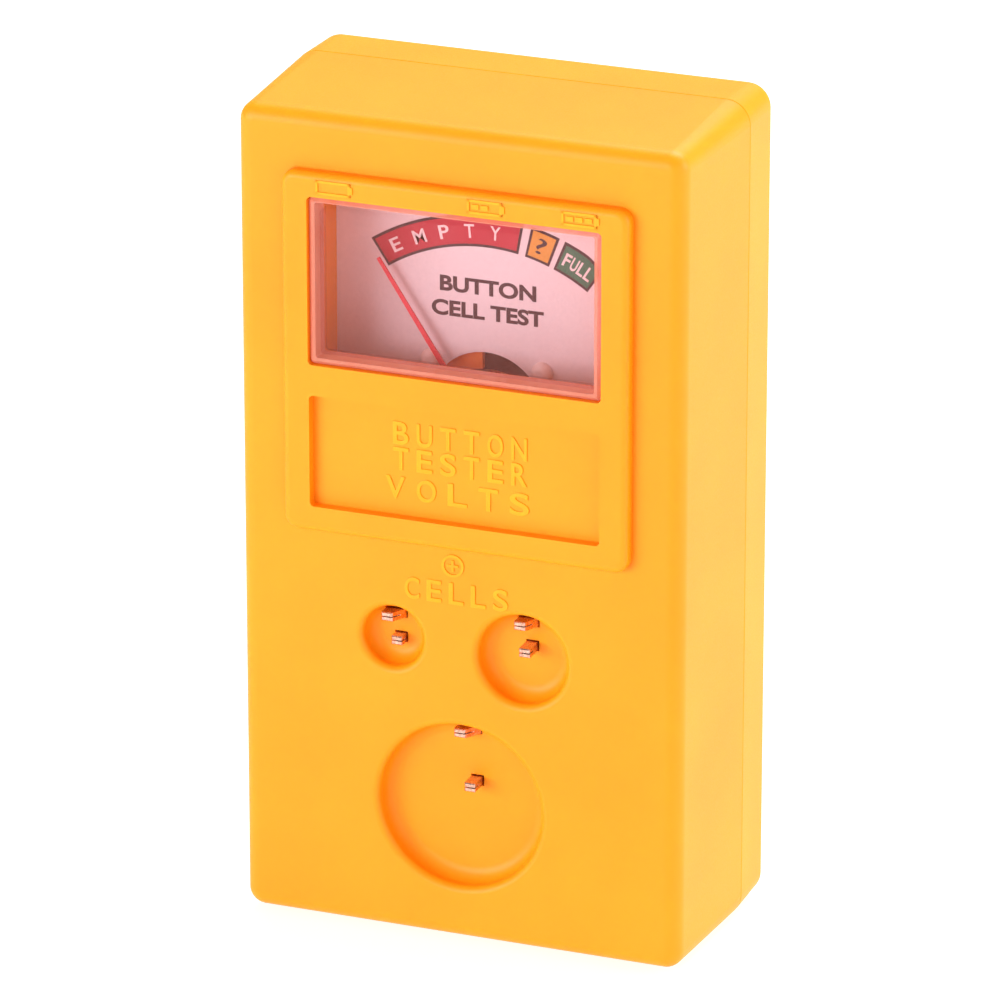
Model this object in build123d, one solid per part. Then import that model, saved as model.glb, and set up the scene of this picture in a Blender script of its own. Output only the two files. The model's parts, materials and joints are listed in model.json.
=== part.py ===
from build123d import *
from math import asin, atan2, cos, degrees, dist, radians, sin
import os

# Coin-cell battery tester: a two-part moulded case around a moving-coil meter,
# with three cell wells in its front, each with two sprung contacts.
#
# Millimetres. +Z is up the case and -Y is its front. Everything is drawn with
# y = 0 on the case's front face and z = 0 at its bottom end; save() then moves
# it along Y so that the origin is the bottom centre of the whole object.

# ---- case -------------------------------------------------------------------
CASE_WIDTH = 61.0  # across the seam, its widest line
CASE_HEIGHT = 110.0
CASE_DEPTH = 30.0  # front face to back face
SEAM_Y = 21.0  # parting line between the two halves
FRONT_INSET = 0.94  # draft: each side of the front face is drawn in by this
BACK_INSET = 0.2
CORNER_RADIUS = 3.2  # at the seam
FRONT_EDGE_RADIUS = 2.0
BACK_EDGE_RADIUS = 1.2
SEAM_EDGE = 0.15  # broken edge of each half, which together make the seam's fine groove
WALL = 2.0
LIP_DEPTH = 2.5  # tongue of the back cover inside the front shell
LIP_WALL = 1.2
LIP_GAP = 0.25
LIP_CORNERS = (1.0, 0.5)  # outside, inside
LEDGE_CORNER = 1.5

# ---- raised bezel, window and nameplate ---------------------------------------
BEZEL_RISE = 1.8
BEZEL_X = 23.0  # half width
BEZEL_Z = (54.4, 101.8)
BEZEL_CORNER = 1.8
BEZEL_EDGE = 0.9
WINDOW_X = 19.5
WINDOW_Z = (76.6, 98.7)
WINDOW_CORNER = 0.6
LEDGE_Y = 1.42  # shelf all round the window, behind its cover
LEDGE_WIDTH = 0.8
SKIRT_X = 20.2  # inner half width of the walls that reach back to the dial
SKIRT_WALL = 1.5
SKIRT_BOTTOM = 74.5  # the skirt is open below, where the pointer comes through
PLATE_X = 19.4
PLATE_Z = (57.8, 72.6)
PLATE_RECESS = 1.4

# ---- cell wells: centre x, centre z, radius -------------------------------------
WELLS = {
    "large": (0.0, 19.1, 11.0),
    "medium": (8.4, 40.2, 5.98),
    "small": (-9.1, 40.9, 4.05),
}
WELL_DEPTH = 3.0
WELL_RIM = 0.9  # radius of the rounded rim
WELL_FOOT = 1.8  # radius between wall and floor
CUP_WALL = 1.6
FLOOR_Y = 4.5  # back of the well floors

# ---- contacts: (nib x, nib z), (fixing screw x, fixing screw z), y of the tip, ramp ----
# A rim contact slopes down to the floor on its +X side, over the length of its ramp.
CONTACTS = {
    "large_rim": ((-0.3, 28.9), (-17.5, 31.5), 0.7, 1.4),
    "large_centre": ((1.3, 21.9), (17.5, 25.0), 0.2, 0.0),
    "medium_rim": ((7.8, 44.6), (21.5, 47.5), 0.7, 1.0),
    "medium_centre": ((8.75, 41.35), (21.5, 39.5), 0.0, 0.0),
    "small_rim": ((-10.1, 43.3), (-21.5, 47.0), 0.7, 1.1),
    "small_centre": ((-9.0, 40.0), (-21.5, 38.5), 1.3, 0.0),
}
NIB_WIDTH = 1.45
NIB_HEIGHT = 1.15
NIB_EDGE = 0.12
NIB_GAP = 0.15  # all round, in its slot
NIB_SLIT = (0.16, 1.3)  # height and depth of the gap between the two folded layers
SHOULDER = 0.5  # how far the nib's back stands out each side, behind the floor
SHOULDER_Y = (4.55, 5.05)
LEAF_WIDTH = 2.0
LEAF_THICKNESS = 0.25
LEAF_Y = 5.07
LEAF_START = 1.3  # leaf beyond the nib's centre
LEAF_TAB = 2.6  # solder tab, beyond the fixing screw
LEAF_POST_RADIUS = 1.7
LEAF_SCREW = (0.7, 1.25, 0.9)  # shank radius, head radius, head height
LEAF_SCREW_TIP = 2.6

# ---- screws ---------------------------------------------------------------------
SLIP = 0.02  # radial clearance of a screw in its hole
SCREW_BORE = 11.0  # deepest screw hole in a post
CASE_POSTS = [(x, z) for x in (-24.0, 24.0) for z in (6.5, 103.5)]
CASE_POST_RADIUS = 2.7
CASE_POST_TOP = 19.0
CASE_PILLAR_RADIUS = 3.4
PILLAR_END_Y = 19.1
PILLAR_GAP = 0.2  # round the screw
CASE_BORE_Y = 24.0  # ledge under the screw heads
CASE_BORE_RADIUS = 2.4
CASE_SCREW = (1.2, 2.1, 1.5)
CASE_SCREW_TIP = 9.0
METER_POSTS = [(x, z) for x in (-23.5, 23.5) for z in (60.5, 96.5)]
METER_POST_RADIUS = 2.0
METER_SCREW = (1.0, 1.9, 1.3)
METER_SCREW_TIP = 6.0

# ---- window cover -----------------------------------------------------------------
COVER_GAP = 0.1
COVER_Y = (-1.6, 1.4)
COVER_PANE = 1.0
COVER_WALL = 1.2
COVER_TOP_WALL = 1.8
COVER_BEVEL = 0.45

# ---- meter: the pivot axis runs along Y through x = 0 --------------------------------
PIVOT_Z = 67.3
DIAL_X = 21.2
DIAL_Z = (64.0, 99.5)
DIAL_Y = (9.6, 10.4)
DIAL_CUTOUTS = ((2.1, 7.6), (0.0, 7.2))  # centre above the pivot, radius
DIAL_RIVET_REACH = 10.9
DIAL_RIVET_ANGLE = 43.0
RIVET_HEAD = 1.4
RIVET_SHANK = 0.9
RIVET_HEIGHT = 1.1
RIVET_TIP_Y = 13.0
DRIVER_GAP = 0.3  # round a screw's head, in the hole a screwdriver goes through
YOKE_RADII = (6.9, 9.8)
YOKE_Y = (11.2, 18.4)
FRAME_X = 25.5
FRAME_Z = (56.0, 99.3)
FRAME_Y = (11.6, 13.6)
FRAME_RIB_X = (19.5, 21.0)  # ribs that carry the dial's edges
FRAME_LIP_RADII = (7.2, 13.0)  # quarter ring behind the dial, over the yoke's front edge
FRAME_LIP_X = -0.9
FRAME_BOSS = 2.0
FRAME_CORNER = 1.5
CORE_RADIUS = 4.6
CORE_Y = (11.0, 17.8)
CORE_SUPPORT_Y = (12.6, 16.6)
CORE_SUPPORT_X = 1.1
BRIDGE_PLATE = 0.8
FRONT_BRIDGE_Y = 5.2
FRONT_BRIDGE_X = 4.0  # half width
FRONT_BRIDGE_Z = (-10.2, 2.4)  # about the pivot
FRONT_FOOT_TOP = -7.0
REAR_BRIDGE_Y = 23.6
REAR_BRIDGE_X = 10.6  # half width
REAR_BRIDGE_Z = 2.6  # half height
REAR_FOOT_X = 6.95
BRIDGE_SCREW = (0.7, 1.2, 0.9)
BRIDGE_SCREW_LENGTH = 3.0
FRONT_SCREWS = [(x, PIVOT_Z - 8.0) for x in (-2.6, 2.6)]
REAR_SCREWS = [(x, PIVOT_Z) for x in (-8.35, 8.35)]
JEWEL_RADIUS = 1.1
JEWEL_CUP = 0.45
JEWEL_Y = (0.22, 1.3)  # inner end beyond the pivot's point, outer end behind it
JEWEL_SLOT = (0.4, 0.35)  # width, depth

# ---- moving coil and pointer ---------------------------------------------------------
REST_ANGLE = -33.5  # pointer from straight up, towards +X
TRAVEL = 70.0
COIL_REACH = 6.5  # outer radius of the coil's sides
COIL_Y = (8.6, 20.2)
COIL_WIDTH = 3.2
COIL_CORNER = 0.9
FORMER_THICKNESS = 0.4
WINDING_THICKNESS = 1.0
HUB_RADIUS = 0.95
FRONT_HUB_Y = (6.7, 8.6)
REAR_HUB_Y = (20.2, 22.1)
PIVOT_PIN = 0.3
PIN_DEPTH = 1.2  # pin inside the hub
PIN_REACH = 0.4  # pin beyond the hub, its pointed end included
PIN_POINT = (0.05, 0.2)  # end radius and length of the point
POINTER_Y = (7.8, 8.05)
POINTER_LENGTH = 25.2
POINTER_WIDTHS = (0.8, 0.45)
POINTER_RING = 1.7
TAIL_LENGTH = 5.0
SIDE_ARM = 3.2
ARM_WIDTH = 0.7
WEIGHT_RADIUS = 0.6
WEIGHT_Y = (7.4, 8.45)
WEIGHT_CORNER = 0.3
WEIGHTS = [(-2.6, 0), (2.6, 0), (0, -3.0)]  # on the side arms and the tail
STOP_REACH = 4.3
STOP_RADIUS = 0.4
STOP_GAP = 0.03
STOP_TIP = 0.2  # beyond the pointer
SPRING_START = 1.05
SPRING_PITCH = 0.35  # growth of the spiral's radius in each half turn
SPRING_HALF_TURNS = 6
SPRING_STRIP = (0.14, 0.2)
FRONT_SPRING_Y = 6.8
REAR_SPRING_Y = 21.8
ANCHOR_SIZE = (0.7, 0.6)

# ---- resistor board and leads -----------------------------------------------------------
BOARD_X = 17.0
BOARD_Z = (46.5, 55.5)
BOARD_Y = (12.0, 13.2)
BOARD_POSTS = [(-12.5, 51.0), (12.5, 51.0)]
BOARD_POST_RADIUS = 1.7
RESISTOR_ROWS = (48.3, 51.0, 53.7)
RESISTOR_BODY = (1.05, 6.2)
RESISTOR_CORNER = 0.4
RESISTOR_SPAN = 9.0
RESISTOR_GAP = 0.2  # between body and board
RESISTOR_LEAD = 0.3
LEAD_BEND = 0.6  # radius of a bent lead, and its length past the board
TERMINALS = [(-16.0, 61.5), (16.0, 61.5)]
STUD_RADIUS = 1.0
STUD_FLANGE = (2.0, 0.8)
STUD_LENGTH = 3.5
NUT = (2.2, 1.4)  # radius across corners, thickness
LEAD_RADIUS = 0.5
LINK_Y = 7.2
LEAD_BACK_Y = 21.0
LEAD_END = 3.0  # straight lead at a leaf's tab and at the board
LEAD_DROP = 8.0  # below the terminal, where a lead reaches its back level
BOARD_SCREW_TIP = 7.5
TAB_JOINT = 2.1  # solder joint beyond the leaf's screw
RIM_PADS = {"large": (-15.2, 48.3), "small": (-15.2, 53.6), "medium": (15.2, 53.6)}
POSITIVE_PAD = (15.2, 48.3)
CENTRE_LINKS = {
    "large_centre_lead": (("large_centre", TAB_JOINT), ("medium_centre", TAB_JOINT)),
    "small_centre_lead": (("small_centre", -2.6), ("medium_centre", -2.6)),
}

NEAR = 0.001  # tolerance for picking edges
ROW_SHIFT = (BEZEL_RISE - CASE_DEPTH) / 2  # moves the drawing's y to the row's y
MOVEMENT = Pos(0, 0, PIVOT_Z)


# ---- helpers ----------------------------------------------------------------------------
def block(x, y, z):
    """A box given by its (low, high) pair on each axis."""
    spans = (x, y, z)
    centre = [(low + high) / 2 for low, high in spans]
    return Pos(*centre) * Box(*[high - low for low, high in spans])


def rod(radius, place, y):
    """A cylinder along Y, centred on place = (x, z), over the span y."""
    turned = Rot(90, 0, 0) * Cylinder(radius, y[1] - y[0])
    return Pos(place[0], (y[0] + y[1]) / 2, place[1]) * turned


def tube(outer, inner, place, y):
    return rod(outer, place, y) - rod(inner, place, y)


def slab(outline, y):
    """A flat XZ outline given thickness over the span y."""
    plane = Plane(origin=(0, y[1], 0), x_dir=(1, 0, 0), z_dir=(0, -1, 0))
    return extrude(plane * outline, amount=y[1] - y[0])


def polar(reach, angle):
    """(x, z) at an angle from straight up, towards +X, about the meter's pivot."""
    return reach * sin(radians(angle)), PIVOT_Z + reach * cos(radians(angle))


def face_edges(solid, y):
    """The edges that lie in one plane square to Y."""
    return solid.edges().filter_by_position(Axis.Y, y - NEAR, y + NEAR)


def screw(place, size, seat, tip, facing):
    """A pan-head screw along Y; its head is on the side of the seat that facing names."""
    shank, head, height = size
    span = sorted((seat, seat + facing * height))
    body = rod(head, place, span)
    top = seat + facing * height
    body = fillet(face_edges(body, top), height * 0.4)
    body += rod(shank, place, sorted((seat, tip)))
    body = chamfer(face_edges(body, tip), shank * 0.6)
    depth = height * 0.55
    slot_y = sorted((top + facing, top - facing * depth))
    for width, length in ((head * 0.3, head * 1.2), (head * 1.2, head * 0.3)):
        half_x, half_z = width / 2, length / 2
        x, z = place
        body -= block((x - half_x, x + half_x), slot_y, (z - half_z, z + half_z))
    return body


def save(name, *solids):
    """Write one node; several solids in a node stay separate solids."""
    placed = [Pos(0, ROW_SHIFT, 0) * solid for solid in solids]
    shape = placed[0] if len(placed) == 1 else Compound(children=placed)
    export_step(shape, f"parts/{name}.step")


# ---- case ---------------------------------------------------------------------------------
def case_half(shrink, face_y, inset):
    """One half's outline at the seam, less shrink all round, drafted in towards face_y."""
    width, height = CASE_WIDTH - 2 * shrink, CASE_HEIGHT - 2 * shrink
    outline = RectangleRounded(width, height, CORNER_RADIUS - shrink)
    depth = abs(face_y - SEAM_Y)
    way = 1 if face_y > SEAM_Y else -1
    plane = Plane(origin=(0, SEAM_Y, CASE_HEIGHT / 2), x_dir=(1, 0, 0), z_dir=(0, way, 0))
    return extrude(plane * outline, amount=depth, taper=degrees(atan2(inset, depth)))


def well_cutter(x, z, radius):
    """The hollow of one well: rounded rim, straight wall, rounded foot, flat floor."""
    rim, foot = radius + WELL_RIM, radius - WELL_FOOT
    outline = [
        Line((0, -1), (rim, -1)),
        Line((rim, -1), (rim, 0)),
        CenterArc((rim, WELL_RIM), WELL_RIM, 180, 90),
        Line((radius, WELL_RIM), (radius, WELL_DEPTH - WELL_FOOT)),
        CenterArc((foot, WELL_DEPTH - WELL_FOOT), WELL_FOOT, 0, 90),
        Line((foot, WELL_DEPTH), (0, WELL_DEPTH)),
        Line((0, WELL_DEPTH), (0, -1)),
    ]
    profile = make_face(Curve() + outline)
    return Pos(x, 0, z) * revolve(profile, Axis.Y)


def plate_outline(x, z, corner):
    """A rounded rectangle of half width x, over the span z."""
    middle = (z[0] + z[1]) / 2
    return Pos(0, middle) * RectangleRounded(2 * x, z[1] - z[0], corner)


def nib_span(contact):
    """x from one side of a nib to the other, its ramp included."""
    (x, _), _, _, ramp = CONTACTS[contact]
    return x - NIB_WIDTH / 2, x + NIB_WIDTH / 2 + ramp


def shell_posts():
    """(radius, place, top, bore) of each post inside the front shell."""
    posts = [(CASE_POST_RADIUS, post, CASE_POST_TOP, CASE_SCREW[0]) for post in CASE_POSTS]
    posts += [(METER_POST_RADIUS, post, FRAME_Y[0], METER_SCREW[0]) for post in METER_POSTS]
    posts += [(BOARD_POST_RADIUS, post, BOARD_Y[0], LEAF_SCREW[0]) for post in BOARD_POSTS]
    leaf_posts = [post for _, post, _, _ in CONTACTS.values()]
    posts += [(LEAF_POST_RADIUS, post, LEAF_Y, LEAF_SCREW[0]) for post in leaf_posts]
    return posts


def cut_window(shell):
    """Opening for the cover, a narrower one behind its ledge, and the room over the dial."""
    front = -2 * BEZEL_RISE
    shell -= slab(plate_outline(WINDOW_X, WINDOW_Z, WINDOW_CORNER), (front, LEDGE_Y))
    ledge_z = (WINDOW_Z[0] + LEDGE_WIDTH, WINDOW_Z[1] - LEDGE_WIDTH)
    ledge_x = WINDOW_X - LEDGE_WIDTH
    shell -= slab(plate_outline(ledge_x, ledge_z, WINDOW_CORNER), (front, WALL + 1))
    room_z = (SKIRT_BOTTOM - 1, WINDOW_Z[1])
    return shell - slab(plate_outline(SKIRT_X, room_z, WINDOW_CORNER), (WALL, DIAL_Y[0]))


def front_shell():
    shell = case_half(0, 0, FRONT_INSET)
    shell = fillet(face_edges(shell, 0), FRONT_EDGE_RADIUS)
    shell = chamfer(face_edges(shell, SEAM_Y), SEAM_EDGE)
    bezel = slab(plate_outline(BEZEL_X, BEZEL_Z, BEZEL_CORNER), (-BEZEL_RISE, WALL / 2))
    shell += fillet(face_edges(bezel, -BEZEL_RISE), BEZEL_EDGE)
    cavity_depth = SEAM_Y - WALL
    shell -= case_half(WALL, WALL, FRONT_INSET * cavity_depth / SEAM_Y)

    skirt_z = (SKIRT_BOTTOM, WINDOW_Z[1] + SKIRT_WALL)
    skirt_y = (WALL / 2, DIAL_Y[0] - SLIP)
    shell += slab(plate_outline(SKIRT_X + SKIRT_WALL, skirt_z, WINDOW_CORNER), skirt_y)
    for x, z, radius in WELLS.values():
        shell += rod(radius + CUP_WALL, (x, z), (WALL / 2, FLOOR_Y))
    for radius, place, top, _ in shell_posts():
        shell += rod(radius, place, (WALL / 2, top))

    shell = cut_window(shell)
    recess_y = (-2 * BEZEL_RISE, PLATE_RECESS - BEZEL_RISE)
    shell -= slab(plate_outline(PLATE_X, PLATE_Z, WINDOW_CORNER), recess_y)
    for well in WELLS.values():
        shell -= well_cutter(*well)
    half_z = NIB_HEIGHT / 2 + NIB_GAP
    for name, ((_, z), _, _, _) in CONTACTS.items():
        left, right = nib_span(name)
        slot_x = (left - NIB_GAP, right + NIB_GAP)
        shell -= block(slot_x, (WELL_DEPTH / 2, FLOOR_Y + 1), (z - half_z, z + half_z))
    for _, place, top, bore in shell_posts():
        depth = min(top - WALL / 2, SCREW_BORE)
        shell -= rod(bore + SLIP, place, (top - depth, top))
    return shell


def back_cover():
    cover = case_half(0, CASE_DEPTH, BACK_INSET)
    cover = fillet(face_edges(cover, CASE_DEPTH), BACK_EDGE_RADIUS)
    cover = chamfer(face_edges(cover, SEAM_Y), SEAM_EDGE)
    cover -= case_half(WALL, CASE_DEPTH - WALL, BACK_INSET)
    lip_shrink = WALL + LIP_GAP
    lip_y = (SEAM_Y - LIP_DEPTH, SEAM_Y + WALL)
    lip_x = CASE_WIDTH / 2 - lip_shrink
    lip_z = (lip_shrink, CASE_HEIGHT - lip_shrink)
    inner_z = (lip_z[0] + LIP_WALL, lip_z[1] - LIP_WALL)
    hollow = slab(plate_outline(lip_x - LIP_WALL, inner_z, LIP_CORNERS[1]), lip_y)
    lip = slab(plate_outline(lip_x, lip_z, LIP_CORNERS[0]), lip_y)
    middle = WALL / 2
    ledge_z = (middle, CASE_HEIGHT - middle)
    ledge_y = (SEAM_Y + SEAM_EDGE, lip_y[1])
    ledge = slab(plate_outline(CASE_WIDTH / 2 - middle, ledge_z, LEDGE_CORNER), ledge_y)
    cover += lip + ledge - hollow
    for post in CASE_POSTS:
        cover += rod(CASE_PILLAR_RADIUS, post, (PILLAR_END_Y, CASE_DEPTH - WALL / 2))
    for post in CASE_POSTS:
        cover -= rod(CASE_BORE_RADIUS, post, (CASE_BORE_Y, CASE_DEPTH + 1))
        cover -= rod(CASE_SCREW[0] + PILLAR_GAP, post, (CASE_POST_TOP, CASE_BORE_Y + 1))
    return cover


def meter_cover():
    """Clear shallow box pressed into the window, open at the back."""
    x = WINDOW_X - COVER_GAP
    z = (WINDOW_Z[0] + COVER_GAP, WINDOW_Z[1] - COVER_GAP)
    cover = slab(plate_outline(x, z, WINDOW_CORNER), COVER_Y)
    cover = chamfer(face_edges(cover, COVER_Y[0]), COVER_BEVEL)
    inner_z = (z[0] + COVER_WALL, z[1] - COVER_TOP_WALL)
    inner_y = (COVER_Y[0] + COVER_PANE, COVER_Y[1] + 1)
    return cover - slab(plate_outline(x - COVER_WALL, inner_z, WINDOW_CORNER / 2), inner_y)


# ---- contacts -------------------------------------------------------------------------------
def nib(contact):
    """Folded strip end: two layers side by side, with a shoulder behind the well floor."""
    (_, z), _, tip_y, ramp = CONTACTS[contact]
    left, right = nib_span(contact)
    low = z - NIB_HEIGHT / 2
    back_y = SHOULDER_Y[1]
    corners = [(left, tip_y), (right - ramp, tip_y), (right, WELL_DEPTH), (right, back_y), (left, back_y)]
    body = extrude(Pos(0, 0, low) * Polygon(*corners, align=None), amount=NIB_HEIGHT)
    body = chamfer(face_edges(body, tip_y), NIB_EDGE)
    slit, depth = NIB_SLIT
    body -= block((left - 1, right + 1), (tip_y - 1, tip_y + depth), (z - slit / 2, z + slit / 2))
    wide = (left - SHOULDER, right + SHOULDER)
    return body + block(wide, SHOULDER_Y, (low, low + NIB_HEIGHT))


def leaf(contact):
    """Flat spring strip from behind a nib to its fixing screw, ending in a solder tab."""
    start, post, _, _ = CONTACTS[contact]
    length = dist(start, post)
    turn = degrees(atan2(post[1] - start[1], post[0] - start[0]))
    strip = SlotOverall(length + LEAF_TAB + LEAF_START, LEAF_WIDTH)
    middle = Pos((length + LEAF_TAB - LEAF_START) / 2, 0) * strip
    outline = Pos(*start) * (Rot(0, 0, turn) * middle)
    body = slab(outline, (LEAF_Y, LEAF_Y + LEAF_THICKNESS))
    body += rod(LEAF_POST_RADIUS, post, (LEAF_Y, LEAF_Y + LEAF_THICKNESS))
    return body - rod(LEAF_SCREW[0] + SLIP, post, (LEAF_Y - 1, LEAF_Y + 1))


def leaf_point(contact, beyond):
    """(x, z) on a leaf's centre line, that far beyond its fixing screw."""
    start, post, _, _ = CONTACTS[contact]
    length = dist(start, post)
    reach = (length + beyond) / length
    return [a + (b - a) * reach for a, b in zip(start, post)]


# ---- meter ------------------------------------------------------------------------------------
def rivet_places():
    return [polar(DIAL_RIVET_REACH, angle) for angle in (-DIAL_RIVET_ANGLE, DIAL_RIVET_ANGLE)]


def dial_plate():
    plate = slab(plate_outline(DIAL_X, DIAL_Z, WINDOW_CORNER), DIAL_Y)
    for rise, radius in DIAL_CUTOUTS:
        plate -= rod(radius, (0, PIVOT_Z + rise), (DIAL_Y[0] - 1, DIAL_Y[1] + 1))
    for place in rivet_places():
        plate -= rod(RIVET_SHANK + SLIP, place, (DIAL_Y[0] - 1, DIAL_Y[1] + 1))
    return plate


def dial_rivet(place):
    """Domed pin through the dial into the frame."""
    front = DIAL_Y[0] - RIVET_HEIGHT
    head = rod(RIVET_HEAD, place, (front, DIAL_Y[0]))
    head = fillet(face_edges(head, front), RIVET_HEIGHT * 0.9)
    return head + rod(RIVET_SHANK, place, (DIAL_Y[0], RIVET_TIP_Y))


def yoke_ring():
    ring = tube(YOKE_RADII[1], YOKE_RADII[0], (0, PIVOT_Z), YOKE_Y)
    depth = BRIDGE_SCREW_LENGTH - BRIDGE_PLATE + SLIP
    for place in FRONT_SCREWS:
        ring -= rod(BRIDGE_SCREW[0] + SLIP, place, (YOKE_Y[0] - 1, YOKE_Y[0] + depth))
    for place in REAR_SCREWS:
        ring -= rod(BRIDGE_SCREW[0] + SLIP, place, (YOKE_Y[1] - depth, YOKE_Y[1] + 1))
    return ring


def meter_frame():
    """Moulded plate round the yoke, with ribs, bosses and a quarter ring behind the dial."""
    pivot = (0, PIVOT_Z)
    behind_dial = (DIAL_Y[1], FRAME_Y[0])
    frame = slab(plate_outline(FRAME_X, FRAME_Z, FRAME_CORNER), FRAME_Y)
    rib_z = (DIAL_Z[0] + 2, DIAL_Z[1] - 2)
    for side in (-1, 1):
        frame += block(sorted(side * x for x in FRAME_RIB_X), behind_dial, rib_z)
    ring = tube(FRAME_LIP_RADII[1], FRAME_LIP_RADII[0], pivot, behind_dial)
    frame += ring & block((-FRAME_X, FRAME_LIP_X), behind_dial, (PIVOT_Z, FRAME_Z[1]))
    for place in rivet_places():
        frame += rod(FRAME_BOSS, place, behind_dial)
    frame -= rod(YOKE_RADII[1] + SLIP, pivot, (YOKE_Y[0] - SLIP, FRAME_Y[1] + 1))
    for place in rivet_places():
        frame -= rod(RIVET_SHANK + SLIP, place, (DIAL_Y[0], FRAME_Y[1] + 1))
    for post in METER_POSTS:
        frame -= rod(METER_SCREW[0] + SLIP, post, (FRAME_Y[0] - 1, FRAME_Y[1] + 1))
    for place in TERMINALS:
        frame -= rod(STUD_RADIUS + SLIP, place, (FRAME_Y[0] - 1, FRAME_Y[1] + 1))
    return frame


def core_support(side):
    """Block in the air gap that carries the core, outside the coil's sweep."""
    z = sorted((side * CORE_RADIUS / 2, side * (YOKE_RADII[0] + 1)))
    web = block((-CORE_SUPPORT_X, CORE_SUPPORT_X), CORE_SUPPORT_Y, z)
    ring = tube(YOKE_RADII[0], CORE_RADIUS, (0, 0), CORE_SUPPORT_Y)
    return MOVEMENT * (web & ring)


def front_bridge():
    """Plate in front of the pointer's hub, with a leg down to the yoke."""
    plate_y = (FRONT_BRIDGE_Y, FRONT_BRIDGE_Y + BRIDGE_PLATE)
    foot_y = (YOKE_Y[0] - BRIDGE_PLATE, YOKE_Y[0])
    x = (-FRONT_BRIDGE_X, FRONT_BRIDGE_X)
    low, high = FRONT_BRIDGE_Z
    bridge = block(x, plate_y, (low, high))
    bridge += block(x, (plate_y[0], YOKE_Y[0]), (low, low + BRIDGE_PLATE))
    bridge += block(x, foot_y, (low, FRONT_FOOT_TOP))
    bridge -= rod(JEWEL_RADIUS, (0, 0), (plate_y[0] - 1, plate_y[1] + 1))
    bridge = MOVEMENT * bridge
    shank, head, _ = BRIDGE_SCREW
    for place in FRONT_SCREWS:
        bridge -= rod(shank + SLIP, place, (foot_y[0] - 1, foot_y[1] + 1))
        bridge -= rod(head + DRIVER_GAP, place, (plate_y[0] - 1, plate_y[1] + 1))
    return bridge


def rear_bridge():
    """U-shaped strap behind the coil, with two feet on the yoke's back face."""
    plate_y = (REAR_BRIDGE_Y - BRIDGE_PLATE, REAR_BRIDGE_Y)
    foot_y = (YOKE_Y[1], YOKE_Y[1] + BRIDGE_PLATE)
    reach = REAR_BRIDGE_X
    z = (-REAR_BRIDGE_Z, REAR_BRIDGE_Z)
    bridge = block((-reach, reach), plate_y, z)
    for side in (-1, 1):
        leg = sorted((side * reach, side * (reach - BRIDGE_PLATE)))
        foot = sorted((side * reach, side * REAR_FOOT_X))
        bridge += block(leg, (foot_y[0], plate_y[1]), z)
        bridge += block(foot, foot_y, z)
    bridge -= rod(JEWEL_RADIUS, (0, 0), (plate_y[0] - 1, plate_y[1] + 1))
    bridge = MOVEMENT * bridge
    for place in REAR_SCREWS:
        bridge -= rod(BRIDGE_SCREW[0] + SLIP, place, (foot_y[0] - 1, foot_y[1] + 1))
    return bridge


def jewel_screw(tip_y, inward):
    """Bearing screw: a cup for the pivot's point in its inner end, a slot in its outer end."""
    inner = tip_y + inward * JEWEL_Y[0]
    outer = tip_y - inward * JEWEL_Y[1]
    body = rod(JEWEL_RADIUS, (0, 0), sorted((inner, outer)))
    body -= rod(JEWEL_CUP, (0, 0), sorted((inner + inward, tip_y - inward * SLIP)))
    width, depth = JEWEL_SLOT
    slot_y = sorted((outer - inward, outer + inward * depth))
    slot = block((-2 * JEWEL_RADIUS, 2 * JEWEL_RADIUS), slot_y, (-width / 2, width / 2))
    return MOVEMENT * (body - slot)


def pivot_pin(hub_y, outward):
    """Steel point pressed into the hub."""
    end_radius, point = PIN_POINT
    end = hub_y + outward * (PIN_REACH - point)
    shank = rod(PIVOT_PIN, (0, 0), sorted((hub_y - outward * PIN_DEPTH, end)))
    cone = Rot(outward * -90, 0, 0) * Cone(PIVOT_PIN, end_radius, point)
    return MOVEMENT * (shank + Pos(0, end + outward * point / 2, 0) * cone)


def hub(y, pin_y, outward):
    """Collar on the coil, bored for its pivot pin from the end at pin_y."""
    bore = rod(PIVOT_PIN, (0, 0), sorted((pin_y, pin_y - outward * PIN_DEPTH)))
    return MOVEMENT * (rod(HUB_RADIUS, (0, 0), y) - bore)


def turned(shape):
    """From a pointer drawn straight up to the rest position."""
    return MOVEMENT * (Rot(0, REST_ANGLE, 0) * shape)


def coil_loop(inner_reach, outer_reach, inner_y, outer_y):
    half = COIL_WIDTH / 2
    loop = block((-outer_reach, outer_reach), outer_y, (-half, half))
    return loop - block((-inner_reach, inner_reach), inner_y, (-COIL_WIDTH, COIL_WIDTH))


def coil_parts():
    """Aluminium former, and the copper winding round it."""
    reach, (front, rear) = COIL_REACH, COIL_Y
    wound = reach - WINDING_THICKNESS
    bare = wound - FORMER_THICKNESS
    wound_y = (front + WINDING_THICKNESS, rear - WINDING_THICKNESS)
    bare_y = (wound_y[0] + FORMER_THICKNESS, wound_y[1] - FORMER_THICKNESS)
    winding = coil_loop(wound, reach, wound_y, COIL_Y)
    outer_edges = winding.edges().filter_by(Axis.Z).group_by(SortBy.DISTANCE)[-1]
    winding = fillet(outer_edges, COIL_CORNER)
    former = coil_loop(bare, wound, bare_y, wound_y)
    return turned(former), turned(winding)


def pointer():
    """Thin tapered blade with a ring round the hub, a tail and two side arms."""
    root, tip = [width / 2 for width in POINTER_WIDTHS]
    corners = [(-root, 0), (root, 0), (tip, POINTER_LENGTH), (-tip, POINTER_LENGTH)]
    outline = Polygon(*corners, align=None) + Circle(POINTER_RING)
    outline += Pos(0, -TAIL_LENGTH / 2) * Rectangle(ARM_WIDTH, TAIL_LENGTH)
    outline += Rectangle(2 * SIDE_ARM, ARM_WIDTH)
    outline -= Circle(HUB_RADIUS)
    return turned(slab(outline, POINTER_Y))


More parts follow.
